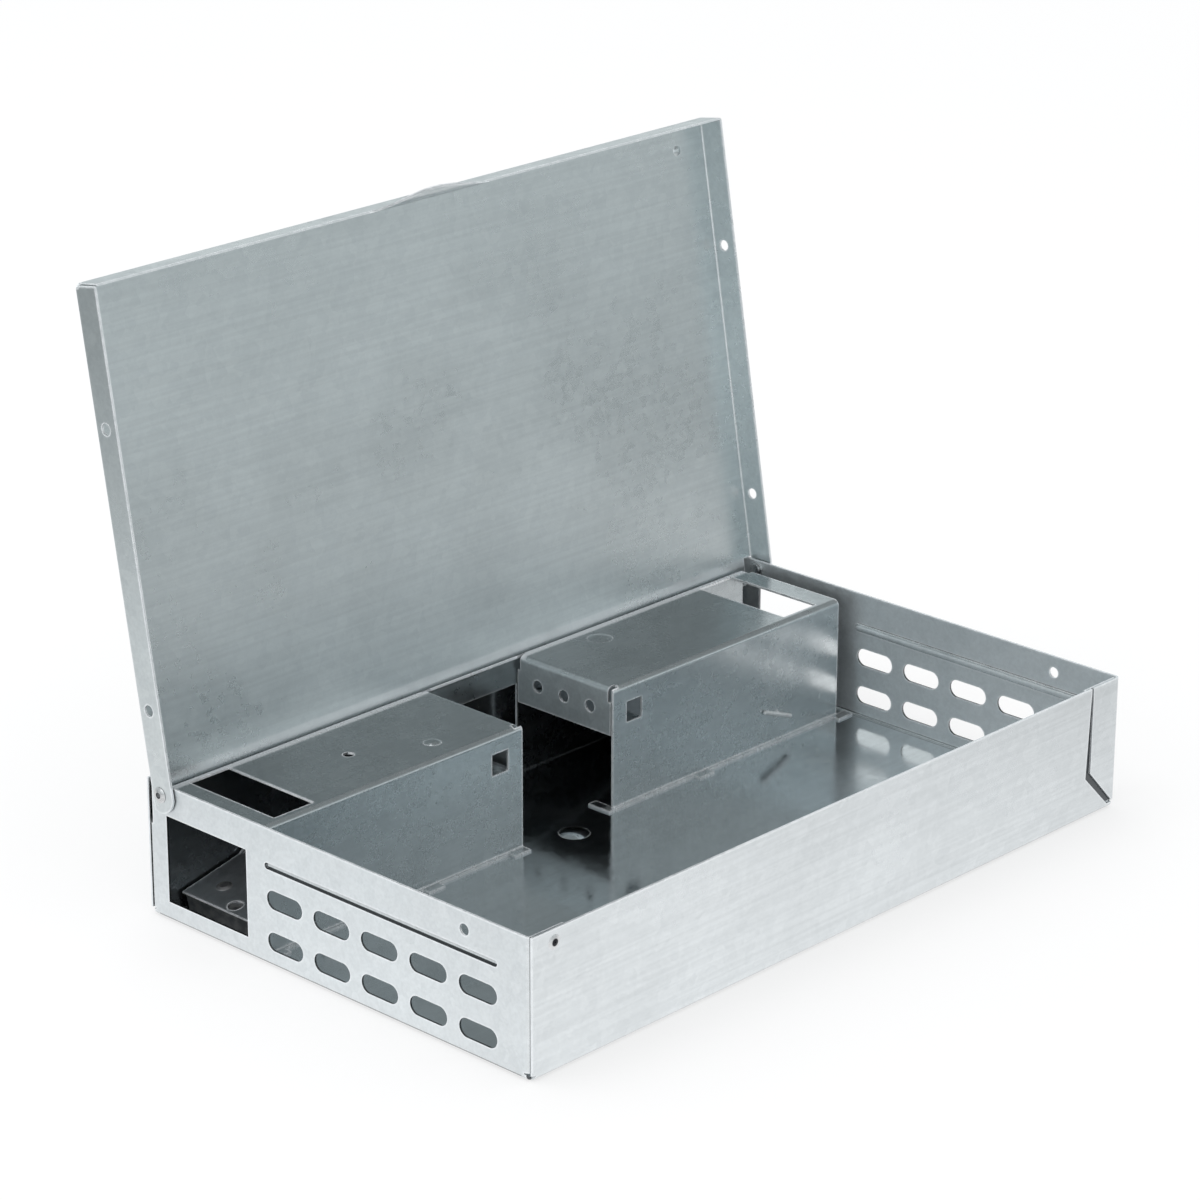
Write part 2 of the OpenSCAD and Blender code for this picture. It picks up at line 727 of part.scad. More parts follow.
module tunnel_cover() {
    color("slategray") {
        difference() {
            union() {
                for (side = [0, 1]) at_tunnel(side) {
                    // where the tray's fold ends, measured from the end of the cover
                    fold_end = fold_r + foot_gap - sheet - (side == 0 ? cover_left_gap : cover_right_gap);
                    difference() {
                        half_channel();
                        drop_cutter();
                        block([hatch_x, -cover_w / 2 + hatch_web, cover_top - fold_r],
                              [hatch_x + hatch_l, cover_w / 2 - hatch_web, cover_top + over]);
                        block([tunnel_l - window_x - window_w, -cover_w / 2 - over, stop_z + sheet],
                              [tunnel_l - window_x, -cover_w / 2 + sheet + over, stop_z + sheet + window_h]);
                        relief_cutter();
                        // lower outer corners, clear of the tray's fold
                        block([-over, -cover_w, 0], [max(fold_end, 0), cover_w, fold_r + foot_gap]);
                        // upper rear corner, clear of the hinge rivet and its washer
                        block([-over, hinge_y - cover_mid - notch_r, hinge_z - notch_r],
                              [notch_l, cover_w, cover_top + over]);
                        // bearing holes of the axle in both walls
                        translate([axle_x, 0, axle_z]) rotate([90, 0, 0])
                            cylinder(r = axle_r + 0.02, h = cover_w + 2 * over, center = true);
                    }
                    difference() {
                        header();
                        relief_cutter();
                    }
                    stop_tongue();
                    outer_foot(foot_mid - foot_w / 2);
                    if (side == 0) {
                        outer_foot(fold_end);
                        outer_foot(tunnel_l - foot_w);
                    } else {
                        outer_foot(fold_end);
                        inner_foot(tunnel_l - sheet, foot_w / 2);
                    }
                }
                at_cover_dimple(0) dimple(left_dimple_r, dimple_h);
                at_cover_dimple(180) dimple(right_dimple_r, dimple_h);
            }
            at_cover_dimple(0) dimple_hollow(left_dimple_r, dimple_h);
            at_cover_dimple(180) dimple_hollow(right_dimple_r, dimple_h);
            // pilot hole in the left top plate
            translate([cover_left + tunnel_l / 2 + 1.5, cover_mid, cover_top - sheet - over])
                cylinder(r = 1.7, h = sheet + 2 * over);
        }
    }
}

// ---- see-saw ramps ----------------------------------------------------

// turns a level ramp piece to its resting slope on the axle of one tunnel
module on_axle(side) {
    at_tunnel(side) translate([axle_x, 0, axle_z]) rotate([0, -ramp_slope, 0]) children();
}

module ramp() {
    half = ramp_w / 2;
    color("lightgray") difference() {
        union() {
            block([-ramp_out, -half, ramp_under], [ramp_in, half, ramp_under + ramp_t]);
            for (side = [0, 1]) mirror([0, side, 0]) {
                // stiffening lip, cut back at both ends
                block([-ramp_out + 3, -half, lip_low], [lip_in, -half + ramp_t, ramp_under + ramp_t]);
                // ear that turns on the axle
                translate([0, -half, 0]) rotate([-90, 0, 0]) cylinder(r = ear_r, h = ramp_t);
                block([-ear_r, -half, 0], [ear_r, -half + ramp_t, ramp_under + ramp_t]);
            }
        }
        rotate([90, 0, 0]) cylinder(r = axle_r + pin_fit, h = ramp_w + 2 * over, center = true);
        translate([-ramp_out + ramp_hole_r + 1.2, 0, ramp_under - over])
            cylinder(r = ramp_hole_r, h = ramp_t + 2 * over);
        for (side = [-1, 1])
            translate([weight_mid, side * weight_rivet_y, ramp_under - over])
                cylinder(r = weight_rivet_r + 0.02, h = ramp_t + 2 * over);
    }
}

// fixed split pin, its two legs bent apart against the front wall
module ramp_axle() {
    leg_r = 0.8 * axle_r;
    color("silver") {
        translate([axle_x, -cover_w / 2 - leg_r, axle_z]) {
            rotate([-90, 0, 0]) cylinder(r = axle_r, h = cover_w + leg_r + 1.2);
            rotate([0, 90 - axle_leg_slope, 0]) cylinder(r = leg_r, h = 2 * axle_leg_l, center = true);
            for (end = [-1, 1])
                rotate([0, 90 - axle_leg_slope, 0]) translate([0, 0, end * axle_leg_l]) sphere(leg_r);
        }
    }
}

// push-on clip behind the cover
module axle_clip() {
    color("dimgray") translate([axle_x, cover_w / 2, axle_z]) rotate([-90, 0, 0]) difference() {
        cylinder(r = axle_clip_r, h = 0.6);
        translate([0, 0, -over]) cylinder(r = axle_r + 0.02, h = 0.6 + 2 * over);
        for (turn = [0 : 60 : 300])
            rotate([0, 0, turn]) translate([axle_r + 0.5, -0.25, -over]) cube([0.9, 0.5, 0.6 + 2 * over]);
    }
}

// steel bar under the ramp's outer end, which keeps the inner end up
module counterweight() {
    color("darkgray") difference() {
        block([-weight_edge, -weight_w / 2, ramp_under - weight_t],
              [-weight_edge + weight_l, weight_w / 2, ramp_under]);
        for (side = [-1, 1])
            translate([weight_mid, side * weight_rivet_y, ramp_under - weight_t - over])
                cylinder(r = weight_rivet_r + 0.02, h = weight_t + 2 * over);
    }
}

// pins with low cone heads on the ramp, short of the weight's underside
module weight_rivets() {
    color("silver") for (side = [-1, 1])
        translate([weight_mid, side * weight_rivet_y, 0]) {
            translate([0, 0, ramp_under - weight_t + 0.3])
                cylinder(r = weight_rivet_r, h = weight_t + ramp_t - 0.3);
            translate([0, 0, ramp_under + ramp_t]) cylinder(r1 = weight_rivet_r + 1.1, r2 = weight_rivet_r, h = 0.6);
        }
}

module left_ramp() {
    on_axle(0) ramp();
}

module right_ramp() {
    on_axle(1) ramp();
}

module left_ramp_axle() {
    at_tunnel(0) ramp_axle();
}

module right_ramp_axle() {
    at_tunnel(1) ramp_axle();
}

module left_axle_clip() {
    at_tunnel(0) axle_clip();
}

module right_axle_clip() {
    at_tunnel(1) axle_clip();
}

module left_counterweight() {
    on_axle(0) counterweight();
}

module right_counterweight() {
    on_axle(1) counterweight();
}

module left_weight_rivets() {
    on_axle(0) weight_rivets();
}

module right_weight_rivets() {
    on_axle(1) weight_rivets();
}

tray();
corner_rivets();
lid();
left_hinge_rivet();
right_hinge_rivet();
left_hinge_washer();
right_hinge_washer();
tunnel_cover();
left_ramp();
right_ramp();
left_ramp_axle();
right_ramp_axle();
left_axle_clip();
right_axle_clip();
left_counterweight();
right_counterweight();
left_weight_rivets();
right_weight_rivets();
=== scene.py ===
"""Live-capture mouse trap in galvanised sheet: finishes, studio and camera."""

import math

import bpy
from mathutils import Euler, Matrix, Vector

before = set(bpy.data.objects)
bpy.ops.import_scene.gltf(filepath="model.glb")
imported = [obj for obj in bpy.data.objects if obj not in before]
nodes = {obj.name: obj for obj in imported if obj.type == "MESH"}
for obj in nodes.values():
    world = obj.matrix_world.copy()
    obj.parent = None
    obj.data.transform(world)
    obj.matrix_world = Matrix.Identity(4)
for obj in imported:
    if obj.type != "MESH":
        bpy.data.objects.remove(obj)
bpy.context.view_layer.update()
scene = bpy.context.scene

X, Y, Z = 0, 1, 2


# ---- shader helpers -----------------------------------------------------

def link(tree, source, target):
    tree.links.new(source, target)


def feed(tree, value, target):
    """Sets an input to a number or a colour, or links a socket to it."""
    if isinstance(value, (int, float)):
        target.default_value = value
    elif isinstance(value, tuple):
        target.default_value = (*value, 1.0)
    else:
        link(tree, value, target)


def add(tree, kind, **settings):
    """A shader node with its settings and unlinked input values."""
    made = tree.nodes.new(kind)
    for name, value in settings.items():
        if name.startswith("in_"):
            key = name[3:]
            made.inputs[int(key) if key.isdigit() else key.replace("_", " ")].default_value = value
        else:
            setattr(made, name, value)
    return made


def maths(tree, operation, first, second=None, clamp=False):
    """One arithmetic step; each side is a socket or a number."""
    made = add(tree, "ShaderNodeMath", operation=operation, use_clamp=clamp)
    for slot, value in enumerate((first, second)):
        if value is not None:
            feed(tree, value, made.inputs[slot])
    return made.outputs[0]


def product(tree, first, *others):
    for other in others:
        first = maths(tree, "MULTIPLY", first, other)
    return first


def rest_of(tree, share):
    """What a share leaves of the whole."""
    return maths(tree, "SUBTRACT", 1.0, share)


def ramp_between(tree, value, low, high, to_low=0.0, to_high=1.0):
    """Maps a value smoothly from one span to another and holds it at the ends."""
    made = add(tree, "ShaderNodeMapRange", interpolation_type="SMOOTHSTEP")
    given = {"Value": value, "From Min": low, "From Max": high, "To Min": to_low, "To Max": to_high}
    for label, number in given.items():
        feed(tree, number, made.inputs[label])
    return made.outputs["Result"]


def blend_colours(tree, factor, first, second):
    """A mix of two colours; the node keeps its colours in slots 6 and 7."""
    made = add(tree, "ShaderNodeMix", data_type="RGBA")
    for slot, value in ((0, factor), (6, first), (7, second)):
        feed(tree, value, made.inputs[slot])
    return made.outputs[2]


def object_place(tree):
    return add(tree, "ShaderNodeTexCoord").outputs["Object"]


def split_axes(tree, vector):
    made = add(tree, "ShaderNodeSeparateXYZ")
    link(tree, vector, made.inputs[0])
    return made.outputs


def dot_product(tree, vector, other):
    """How far one vector reaches along another, a socket or a fixed direction."""
    made = add(tree, "ShaderNodeVectorMath", operation="DOT_PRODUCT")
    link(tree, vector, made.inputs[0])
    if isinstance(other, tuple):
        made.inputs[1].default_value = other
    else:
        link(tree, other, made.inputs[1])
    return made.outputs["Value"]


def noise(tree, place, scale, detail, roughness=0.5):
    made = add(tree, "ShaderNodeTexNoise", in_Detail=detail, in_Roughness=roughness)
    link(tree, place, made.inputs["Vector"])
    feed(tree, scale, made.inputs["Scale"])
    return made.outputs


# ---- shared effects -----------------------------------------------------

def new_group(name, inputs, outputs):
    """An empty shader group: its inputs with their usual values, and its outputs."""
    tree = bpy.data.node_groups.new(name, "ShaderNodeTree")
    for label, value in inputs.items():
        socket = tree.interface.new_socket(label, in_out="INPUT", socket_type="NodeSocketFloat")
        socket.default_value = value
    for label in outputs:
        tree.interface.new_socket(label, in_out="OUTPUT", socket_type="NodeSocketFloat")
    return tree, tree.nodes.new("NodeGroupInput").outputs, tree.nodes.new("NodeGroupOutput").inputs


def zinc_spangle_group():
    """Frosty crystals of hot-dip zinc: each crystal has its own tone and gloss."""
    tree, given, result = new_group(
        "zinc spangle", {"Crystal Size": 0.004, "Contrast": 0.5}, ("Tone", "Gloss", "Height"))
    place = object_place(tree)
    density = maths(tree, "DIVIDE", 1.0, given["Crystal Size"])
    drift = noise(tree, place, product(tree, density, 0.8), 2.0)
    # the drift bends the borders between the crystals
    bend = 0.0025
    bent = add(tree, "ShaderNodeVectorMath", operation="MULTIPLY_ADD", in_1=(bend, bend, bend))
    link(tree, drift["Color"], bent.inputs[0])
    link(tree, place, bent.inputs[2])
    sizes = []
    for fineness in (1.0, 2.7):
        crystals = add(tree, "ShaderNodeTexVoronoi", in_Randomness=1.0)
        link(tree, bent.outputs[0], crystals.inputs["Vector"])
        link(tree, product(tree, density, fineness), crystals.inputs["Scale"])
        parts = add(tree, "ShaderNodeSeparateColor")
        link(tree, crystals.outputs["Color"], parts.inputs[0])
        sizes.append(parts.outputs)
    coarse, fine = sizes
    tone = maths(tree, "ADD", product(tree, coarse[0], 0.6), product(tree, fine[0], 0.4))
    spread = product(tree, maths(tree, "SUBTRACT", tone, 0.5), given["Contrast"])
    link(tree, maths(tree, "ADD", spread, 0.5, clamp=True), result["Tone"])
    gloss = maths(tree, "ADD", product(tree, coarse[1], 0.5), product(tree, fine[1], 0.5))
    link(tree, gloss, result["Gloss"])
    link(tree, drift["Fac"], result["Height"])
    return tree


def rolled_grain_group():
    """Long faint streaks that the rolling mill leaves along the sheet, and wide clouds."""
    tree, given, result = new_group(
        "rolled grain", {"Streak Length": 0.05, "Streak Width": 0.0012}, ("Streaks", "Clouds"))
    place = object_place(tree)
    stretch = add(tree, "ShaderNodeCombineXYZ")
    for axis, label in ((X, "Streak Length"), (Y, "Streak Width"), (Z, "Streak Width")):
        link(tree, maths(tree, "DIVIDE", 1.0, given[label]), stretch.inputs[axis])
    stretched = add(tree, "ShaderNodeVectorMath", operation="MULTIPLY")
    link(tree, place, stretched.inputs[0])
    link(tree, stretch.outputs[0], stretched.inputs[1])
    link(tree, noise(tree, stretched.outputs[0], 1.0, 1.0)["Fac"], result["Streaks"])
    link(tree, noise(tree, place, 18.0, 4.0, 0.55)["Fac"], result["Clouds"])
    return tree


def edge_wear_and_highlight_group():
    """Mask of the sheet's edges and folds, for wear and a painted highlight, broken up so that it
    isn't an outline.
    """
    tree, given, result = new_group("edge wear and highlight", {"Width": 0.0006, "Break Up": 0.5}, ("Mask",))
    rounded = add(tree, "ShaderNodeBevel", samples=4)
    link(tree, given["Width"], rounded.inputs["Radius"])
    plain = add(tree, "ShaderNodeNewGeometry").outputs["Normal"]
    turned = ramp_between(tree, dot_product(tree, rounded.outputs[0], plain), 0.998, 0.93)
    speckle = ramp_between(tree, noise(tree, object_place(tree), 420.0, 3.0)["Fac"], 0.35, 0.65)
    kept = rest_of(tree, product(tree, given["Break Up"], rest_of(tree, speckle)))
    link(tree, maths(tree, "MULTIPLY", turned, kept, clamp=True), result["Mask"])
    return tree


def crevice_shade_group():
    """Mask of narrow seams and gaps from ambient occlusion, where shade is painted in with the grime
    colour.
    """
    tree, given, result = new_group("crevice_shade", {"Reach": 0.003}, ("Mask",))
    shut = add(tree, "ShaderNodeAmbientOcclusion", samples=4)
    link(tree, given["Reach"], shut.inputs["Distance"])
    link(tree, ramp_between(tree, shut.outputs["AO"], 0.12, 0.55, 0.75, 0.0), result["Mask"])
    return tree


def facing_group():
    """Masks of the faces that look along the trap and of those that look up or down."""
    tree, given, result = new_group("facing", {"Sharpness": 0.97}, ("Ends", "Level"))
    look = split_axes(tree, add(tree, "ShaderNodeTexCoord").outputs["Normal"])
    for axis, label in ((X, "Ends"), (Z, "Level")):
        size = maths(tree, "ABSOLUTE", look[axis])
        link(tree, ramp_between(tree, size, 0.85, given["Sharpness"]), result[label])
    return tree


def recess_group():
    """Mask of the faces that lie a little way inside a long wall, where shade is
    painted in. Outward is 1 where only faces that look away from
    the middle count, and 0 where those that look towards it count too."""
    tree, given, result = new_group(
        "recess",
        {"Middle": 0.0, "Half Width": 0.08, "Shallow": 0.0004, "Deep": 0.0022, "Outward": 1.0},
        ("Mask",))
    coordinates = add(tree, "ShaderNodeTexCoord").outputs
    place = split_axes(tree, coordinates["Object"])
    look = split_axes(tree, coordinates["Normal"])
    offset = maths(tree, "SUBTRACT", place[Y], given["Middle"])
    depth = maths(tree, "SUBTRACT", given["Half Width"], maths(tree, "ABSOLUTE", offset))
    inside = product(tree, maths(tree, "GREATER_THAN", depth, given["Shallow"]),
                     maths(tree, "LESS_THAN", depth, given["Deep"]))
    outward = product(tree, maths(tree, "SIGN", offset), look[Y])
    either = product(tree, maths(tree, "ABSOLUTE", outward), rest_of(tree, given["Outward"]))
    square = maths(tree, "GREATER_THAN", maths(tree, "MAXIMUM", outward, either), 0.8)
    link(tree, product(tree, inside, square), result["Mask"])
    return tree


zinc_spangle = zinc_spangle_group()
rolled_grain = rolled_grain_group()
edge_wear_and_highlight = edge_wear_and_highlight_group()
crevice_shade = crevice_shade_group()
facing = facing_group()
recess = recess_group()


def use_group(tree, group, **values):
    made = tree.nodes.new("ShaderNodeGroup")
    made.node_tree = group
    for name, value in values.items():
        made.inputs[name.replace("_", " ")].default_value = value
    return made.outputs


# ---- finishes -----------------------------------------------------------

# light zinc colour of wear, also the painted highlight on edges, folds and bands of the sheet
BARE_AND_HIGHLIT_ZINC = (0.92, 0.94, 0.96)
# grime colour, used mostly as painted shade in seams and recesses
GRIME_AND_SHADE = (0.04, 0.045, 0.05)
# how much of the sheet's own colour the light zinc of wear and painted highlight, or the grime and
# painted shade, hides
COVERING = 0.9
# how matt the light zinc of wear and painted highlight is, next to the shiny sheet
BARE_AND_HIGHLIT_MATT = 0.85
# how much less painted shade the seams of faces looking along the trap get, and how dark the raw edge
# of a hole is
LESS_SHADE_ON_ENDS = 0.8
RAW_EDGE = 0.9
# light steel colour of wear, also a painted highlight on the edges of pins and rivets
RUBBED_AND_HIGHLIT_STEEL = (0.82, 0.83, 0.84)
# painted shade in the hollow middle of a pulled rivet
CORE_SHADE = (0.03, 0.03, 0.035)

# how far out and how wide the end walls lie, from the middle of the trap, and the
# height at which their stiffening bead starts
END_WALLS = (0.1316, 0.076)
BEAD_FOOT = 0.0345
# the corner rivets, whose hollow middles get painted shade: one at the front left and one at each end
# of the rear wall
SHADED_CORES = ((-0.1233, 0.040), (-0.1233, 0.024), (0.1233, 0.024))
# the plates behind the gaps beside the corner tabs, and the inside of the tunnel cover, which get
# painted shade
BEHIND_TABS = dict(Middle=0.0, Half_Width=0.080, Shallow=0.0004, Deep=0.0022, Outward=1.0)
IN_TUNNELS = dict(Middle=0.05276, Half_Width=0.0216, Shallow=0.0005, Deep=0.05, Outward=0.0)
# painted highlights, which also take the painted shade away: how bright, and the bands
# that bound each, as an axis and where the band starts, is full, is full no longer and ends
LID_FOOT_HIGHLIGHT = (0.3, (Z, 0.0412, 0.0420, 0.0438, 0.0450))
COVER_REAR_HIGHLIGHT = (0.65, (Y, 0.0696, 0.0712, 0.08, 0.09), (Z, 0.0402, 0.0408, 0.05, 0.06))
COVER_FOOT_HIGHLIGHT = (0.5, (Z, -0.002, -0.001, 0.0008, 0.0018), (Y, 0.0, 0.01, 0.033, 0.034))


def new_material(name):
    made = bpy.data.materials.new(name)
    made.use_nodes = True
    return made, made.node_tree, made.node_tree.nodes["Principled BSDF"]


def sheet_dirt_and_shade(tree, spot, turned, shaded_recess, recess_shade, punched):
    """Painted shade in a sheet's seams and a recess, and the real dark raw edges of punched holes."""
    # shade painted into seams, less on faces that look along the trap
    kept = rest_of(tree, product(tree, turned["Ends"], LESS_SHADE_ON_ENDS))
    dirt_and_shade = product(tree, use_group(tree, crevice_shade)["Mask"], kept)
    if shaded_recess:
        recess_mask = use_group(tree, recess, **shaded_recess)["Mask"]
        dirt_and_shade = maths(tree, "MAXIMUM", dirt_and_shade, product(tree, recess_mask, recess_shade))
    if punched:
        out, wide = punched
        past = maths(tree, "GREATER_THAN", maths(tree, "ABSOLUTE", spot[X]), out)
        within = maths(tree, "LESS_THAN", maths(tree, "ABSOLUTE", spot[Y]), wide)
        below = maths(tree, "LESS_THAN", spot[Z], BEAD_FOOT)
        raw = product(tree, past, within, below, rest_of(tree, turned["Ends"]))
        dirt_and_shade = maths(tree, "MAXIMUM", dirt_and_shade, product(tree, raw, RAW_EDGE))
    return dirt_and_shade


def painted_highlight_strip(tree, spot, turned, bands):
    # a band of painted highlight, on faces that don't look along the trap
    highlight_strip = rest_of(tree, turned["Ends"])
    for axis, start, full, full_end, end in bands:
        highlight_strip = product(tree, highlight_strip, ramp_between(tree, spot[axis], start, full),
                        ramp_between(tree, spot[axis], end, full_end))
    return highlight_strip


def galvanised_sheet(name, dark, light, gloss, crystal=0.0035, dull_ends=0.0, chalky_ends=0.0,
                     level_gloss=0.0, level_shade=0.0, rim=None, shaded_recess=None, recess_shade=1.0,
                     punched=None, painted_highlights=()):
    """Hot-dip galvanised sheet, from its dark and light crystals and its mean roughness.

    dull_ends is added to the roughness of the faces that look along the trap and
    chalky_ends is their share of white oxide; level_gloss is taken off the roughness
    of the level faces and level_shade off their tone. rim gives the height at which
    finger grime starts on a folded rim and that of full grime, shaded_recess the place
    of a recess with painted shade and recess_shade how dark it is, punched the end walls
    whose holes have raw dark edges, and painted_highlights each band of painted highlight.
    """
    made, tree, surface = new_material(name)
    spangle = use_group(tree, zinc_spangle, Crystal_Size=crystal, Contrast=0.6)
    grain = use_group(tree, rolled_grain)
    turned = use_group(tree, facing)
    spot = split_axes(tree, object_place(tree))
    # painted shade in seams and recesses, and the real dark raw edges of punched holes
    dirt_and_shade = sheet_dirt_and_shade(tree, spot, turned, shaded_recess, recess_shade, punched)
    # edges and folds made lighter: partly wear, partly painted highlight
    worn_and_highlit = use_group(tree, edge_wear_and_highlight, Width=0.001, Break_Up=0.3)["Mask"]
    # bands of painted highlight, which clear the painted shade under them
    for amount, *bands in painted_highlights:
        highlight_strip = painted_highlight_strip(tree, spot, turned, bands)
        dirt_and_shade = product(tree, dirt_and_shade, rest_of(tree, highlight_strip))
        worn_and_highlit = maths(tree, "MAXIMUM", worn_and_highlit, product(tree, highlight_strip, amount))
    bare_and_highlit = product(tree, worn_and_highlit, rest_of(tree, dirt_and_shade))

    tone = product(tree, ramp_between(tree, grain["Clouds"], 0.3, 0.7, 0.95, 1.03),
                   ramp_between(tree, grain["Streaks"], 0.25, 0.75, 0.97, 1.03),
                   rest_of(tree, product(tree, turned["Level"], level_shade)))
    if rim:
        grime = ramp_between(tree, spot[Z], rim[0], rim[1], 0.02, 0.24)
        folded = maths(tree, "MAXIMUM", turned["Ends"], turned["Level"])
        tone = product(tree, tone, rest_of(tree, product(tree, grime, folded)))
    toned = add(tree, "ShaderNodeVectorMath", operation="SCALE")
    link(tree, blend_colours(tree, spangle["Tone"], dark, light), toned.inputs[0])
    link(tree, tone, toned.inputs["Scale"])
    # light zinc for wear and painted highlight, then grime for painted shade
    bright = blend_colours(tree, product(tree, bare_and_highlit, COVERING), toned.outputs[0], BARE_AND_HIGHLIT_ZINC)
    link(tree, blend_colours(tree, product(tree, dirt_and_shade, COVERING), bright, GRIME_AND_SHADE),
         surface.inputs["Base Color"])
    matt = maths(tree, "MAXIMUM", product(tree, bare_and_highlit, BARE_AND_HIGHLIT_MATT),
                 product(tree, turned["Ends"], chalky_ends))
    link(tree, rest_of(tree, matt), surface.inputs["Metallic"])

    crystal_gloss = maths(tree, "ADD", product(tree, spangle["Gloss"], 0.10), gloss - 0.05)
    smear = ramp_between(tree, grain["Clouds"], 0.35, 0.65, -0.03, 0.05)
    rough = maths(tree, "ADD", maths(tree, "ADD", crystal_gloss, smear),
                  product(tree, turned["Ends"], dull_ends))
    rough = maths(tree, "SUBTRACT", rough, product(tree, turned["Level"], level_gloss))
    link(tree, rough, surface.inputs["Roughness"])
    relief = add(tree, "ShaderNodeBump", in_Strength=0.12, in_Distance=0.00004)
    uneven = maths(tree, "ADD", spangle["Height"], product(tree, grain["Streaks"], 0.4))
    link(tree, uneven, relief.inputs["Height"])
    link(tree, relief.outputs[0], surface.inputs["Normal"])
    return made


def plain_steel(name, dark, light, gloss, speck=900.0, metal=1.0, shaded_cores=()):
    """Turned or drawn steel with a fine mottle, lighter at its edges as wear and painted highlight.

    shaded_cores holds the axis of each rivet whose pulled-off mandrel left a hollow
    middle, painted dark as shade, as its place along the trap and its height.
    """
    made, tree, surface = new_material(name)
    place = object_place(tree)
    mottle = noise(tree, place, speck, 4.0, 0.6)["Fac"]
    # edges made lighter: partly wear, partly painted highlight
    worn_and_highlit = use_group(tree, edge_wear_and_highlight, Width=0.0004)["Mask"]
    colour = blend_colours(tree, ramp_between(tree, mottle, 0.35, 0.65), dark, light)
    colour = blend_colours(tree, product(tree, worn_and_highlit, 0.5), colour, RUBBED_AND_HIGHLIT_STEEL)
    if shaded_cores:
        spot = split_axes(tree, place)
    # a dark disc of painted shade where the pulled rivet is hollow
    for along_x, height in shaded_cores:
        aside = maths(tree, "POWER", maths(tree, "SUBTRACT", spot[X], along_x), 2.0)
        above = maths(tree, "POWER", maths(tree, "SUBTRACT", spot[Z], height), 2.0)
        away = maths(tree, "SQRT", maths(tree, "ADD", aside, above))
        core_shade = ramp_between(tree, away, 0.0010, 0.0013, 1.0, 0.0)
        colour = blend_colours(tree, core_shade, colour, CORE_SHADE)
    link(tree, colour, surface.inputs["Base Color"])
    rough = ramp_between(tree, mottle, 0.3, 0.7, gloss - 0.06, gloss + 0.08)
    link(tree, rough, surface.inputs["Roughness"])
    surface.inputs["Metallic"].default_value = metal
    relief = add(tree, "ShaderNodeBump", in_Strength=0.2, in_Distance=0.00003)
    link(tree, mottle, relief.inputs["Height"])
    link(tree, relief.outputs[0], surface.inputs["Normal"])
    return made


tray_sheet = galvanised_sheet(
    "tray sheet", (0.71, 0.75, 0.77), (0.82, 0.86, 0.88), 0.20, dull_ends=0.28, chalky_ends=0.12,
    level_gloss=0.07, shaded_recess=BEHIND_TABS, punched=END_WALLS)
lid_sheet = galvanised_sheet(
    "lid sheet", (0.67, 0.72, 0.74), (0.78, 0.83, 0.84), 0.32, rim=(0.08, 0.19),
    painted_highlights=(LID_FOOT_HIGHLIGHT,))
cover_sheet = galvanised_sheet(
    "cover sheet", (0.61, 0.66, 0.68), (0.73, 0.78, 0.80), 0.26, dull_ends=0.30,
    level_shade=0.12, shaded_recess=IN_TUNNELS, recess_shade=0.38, painted_highlights=(COVER_REAR_HIGHLIGHT, COVER_FOOT_HIGHLIGHT))
ramp_sheet = galvanised_sheet(
    "ramp sheet", (0.58, 0.61, 0.64), (0.70, 0.72, 0.75), 0.34, crystal=0.0025)
rivet_steel = plain_steel("zinc-plated rivet", (0.58, 0.59, 0.60), (0.72, 0.73, 0.74), 0.30)
pulled_rivet = plain_steel("pulled rivet", (0.70, 0.71, 0.72), (0.82, 0.83, 0.84), 0.30, shaded_cores=SHADED_CORES)
pin_steel = plain_steel("zinc-plated pin", (0.80, 0.81, 0.82), (0.92, 0.93, 0.94), 0.34, metal=0.8)
spring_steel = plain_steel("dark spring steel", (0.09, 0.09, 0.10), (0.16, 0.16, 0.17), 0.38)
bar_steel = plain_steel("rolled bar steel", (0.20, 0.20, 0.21), (0.36, 0.35, 0.35), 0.46, speck=350.0)

FINISHES = {
    "tray": tray_sheet, "lid": lid_sheet, "tunnel_cover": cover_sheet,
    "left_ramp": ramp_sheet, "right_ramp": ramp_sheet,
    "corner_rivets": pulled_rivet,
    "left_hinge_rivet": rivet_steel, "right_hinge_rivet": rivet_steel,
    "left_hinge_washer": rivet_steel, "right_hinge_washer": rivet_steel,
    "left_weight_rivets": bar_steel, "right_weight_rivets": bar_steel,
    "left_ramp_axle": pin_steel, "right_ramp_axle": pin_steel,
    "left_axle_clip": spring_steel, "right_axle_clip": spring_steel,
    "left_counterweight": bar_steel, "right_counterweight": bar_steel,
}
for name, part in nodes.items():
    if not part.data.materials:
        part.data.materials.append(FINISHES[name])
    for slot in range(len(part.data.materials)):
        part.data.materials[slot] = FINISHES[name]


# ---- studio -------------------------------------------------------------

WHITE = (1.0, 1.0, 1.0)
FAR_TINT = (0.93, 0.99, 1.0)
WORLD_TINT = (0.98, 0.99, 1.0)
# level directions: to the camera's right, towards the camera and away from it
CAMERA_RIGHT = (0.68, -0.73, 0.0)
CAMERA_SIDE = (-0.73, -0.68, 0.0)
FAR_SIDE = (0.73, 0.68, 0.0)
# how much of the floor's white the camera sees by itself, next to the lit floor
FLOOR_WHITE = 0.65
# the floor lies this far under the trap, so that their faces don't meet
FLOOR_GAP = 0.0002
CAMERA_PLACE = (-0.86755, -0.80411, 0.53723)
CAMERA_TURN = (69.0767, -0.1478, -46.4059)
FOCAL_LENGTH = 125.78


def mix_shaders(tree, factor, first, second):
    made = add(tree, "ShaderNodeMixShader")
    for slot, source in enumerate((factor, first, second)):
        link(tree, source, made.inputs[slot])
    return made.outputs[0]


